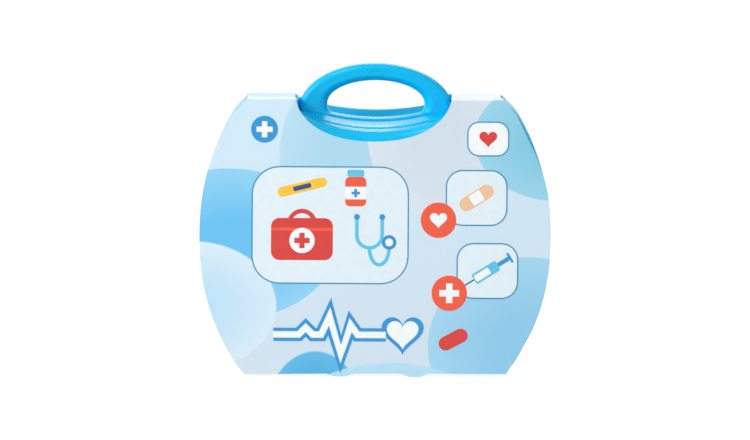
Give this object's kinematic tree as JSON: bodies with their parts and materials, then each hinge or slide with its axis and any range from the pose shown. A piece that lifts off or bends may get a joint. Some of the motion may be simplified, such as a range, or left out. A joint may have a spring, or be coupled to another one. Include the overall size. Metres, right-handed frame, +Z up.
{
  "type": "toy doctor case",
  "caption": "Hinged plastic carry case for a toy doctor's set, with arched handle, side drawers, inner tray and play tools, closed in a printed card wrap",
  "frame": {"origin": "on the surface that the case stands on, under the middle of the case", "axes": "+X to the right across the printed front, +Y from the front to the back, +Z up; the printed front faces -Y"},
  "size_m": [0.25, 0.096, 0.2216],
  "materials": {
    "case_plastic": "moulded polypropylene, glossy",
    "latch_plastic": "moulded polypropylene, glossy",
    "pin_steel": "drawn wire",
    "printed_card": "coated board, printed, satin varnish",
    "tray_plastic": "moulded, satin",
    "red_plastic": "moulded, glossy",
    "tool_blue_plastic": "moulded, glossy",
    "yellow_plastic": "moulded, glossy",
    "cyan_plastic": "moulded, satin",
    "soft_vinyl": "soft vinyl tube, matt",
    "clear_plastic": "clear polystyrene",
    "navy_plastic": "glossy label",
    "board": "coated board",
    "box_card": "coated board"
  },
  "bodies": {
    "base": {"base_shell": "case_plastic", "tray": "tray_plastic", "hinge_pin_left": "pin_steel", "hinge_pin_right": "pin_steel", "latch_pin_left": "pin_steel", "latch_pin_right": "pin_steel", "stethoscope_headset": "cyan_plastic", "stethoscope_ear_tip_low": "tray_plastic", "stethoscope_ear_tip_high": "tray_plastic", "stethoscope_tube": "soft_vinyl", "stethoscope_chest_piece": "cyan_plastic", "stethoscope_diaphragm": "tray_plastic", "monitor_box": "tray_plastic", "monitor_display": "navy_plastic", "monitor_button_left": "red_plastic", "monitor_button_middle": "red_plastic", "monitor_button_right": "red_plastic", "hammer_head": "red_plastic", "hammer_handle": "tray_plastic", "syringe_barrel": "clear_plastic", "thermometer_body": "yellow_plastic", "thermometer_window": "navy_plastic", "bottle": "red_plastic", "bottle_cap": "tray_plastic"},
    "lid": {"lid_shell": "case_plastic", "carry_handle": "case_plastic", "handle_back_cover": "case_plastic", "lid_board": "board", "board_cross": "tray_plastic", "hook_rail": "red_plastic", "lid_shelf": "red_plastic", "medicine_box": "box_card", "pill_pot": "tool_blue_plastic", "pill_pot_lid": "tray_plastic", "drip_bag": "red_plastic", "glasses_frame": "yellow_plastic", "glasses_temple_left": "yellow_plastic", "glasses_temple_right": "yellow_plastic"},
    "card_front": {"card_wrap_front": "printed_card"},
    "card_rear": {"card_wrap_rear": "printed_card"},
    "flap_left": {"card_flap_left": "printed_card"},
    "flap_right": {"card_flap_right": "printed_card"},
    "latch_left": {"latch_left": "latch_plastic"},
    "latch_right": {"latch_right": "latch_plastic"},
    "drawer_left": {"drawer_left": "red_plastic", "forceps": "tool_blue_plastic"},
    "drawer_right": {"drawer_right": "red_plastic", "scissors_half_fixed": "tool_blue_plastic", "scissors_rivet": "pin_steel"},
    "scissors_blade": {"scissors_half_moving": "tool_blue_plastic"},
    "plunger": {"syringe_plunger": "tool_blue_plastic"}
  },
  "joints": [
    {"name": "lid_hinge", "type": "hinge", "parent": "base", "child": "lid", "pos_m": [0, 0, 0.0033], "axis": [1, 0, 0], "range_deg": [0, 100]},
    {"name": "card_front_slide", "type": "slide", "parent": "lid", "child": "card_front", "axis": [0, -1, 0], "range_m": [0, 0.06]},
    {"name": "card_rear_slide", "type": "slide", "parent": "base", "child": "card_rear", "axis": [0, 1, 0], "range_m": [0, 0.07]},
    {"name": "latch_left_hinge", "type": "hinge", "parent": "base", "child": "latch_left", "pos_m": [0, 0.012, 0.1951], "axis": [-1, 0, 0], "range_deg": [0, 110]},
    {"name": "latch_right_hinge", "type": "hinge", "parent": "base", "child": "latch_right", "pos_m": [0, 0.012, 0.1951], "axis": [-1, 0, 0], "range_deg": [0, 110]},
    {"name": "flap_left_crease", "type": "hinge", "parent": "card_rear", "child": "flap_left", "pos_m": [0, 0.0474, 0.19755], "axis": [-1, 0, 0], "range_deg": [0, 110]},
    {"name": "flap_right_crease", "type": "hinge", "parent": "card_rear", "child": "flap_right", "pos_m": [0, 0.0474, 0.19755], "axis": [-1, 0, 0], "range_deg": [0, 110]},
    {"name": "drawer_left_slide", "type": "slide", "parent": "base", "child": "drawer_left", "axis": [-1, 0, 0], "range_m": [0, 0.075]},
    {"name": "drawer_right_slide", "type": "slide", "parent": "base", "child": "drawer_right", "axis": [1, 0, 0], "range_m": [0, 0.075]},
    {"name": "scissors_pivot", "type": "hinge", "parent": "drawer_right", "child": "scissors_blade", "pos_m": [0.05732, 0.035, 0.10519], "axis": [0, 1, 0], "range_deg": [0, 30]},
    {"name": "plunger_slide", "type": "slide", "parent": "base", "child": "plunger", "axis": [1, 0, 0], "range_m": [0, 0.026]}
  ],
  "couplings": [
    {"joint": "flap_left_crease", "follows": "latch_left_hinge", "ratio": 1},
    {"joint": "flap_right_crease", "follows": "latch_right_hinge", "ratio": 1}
  ]
}
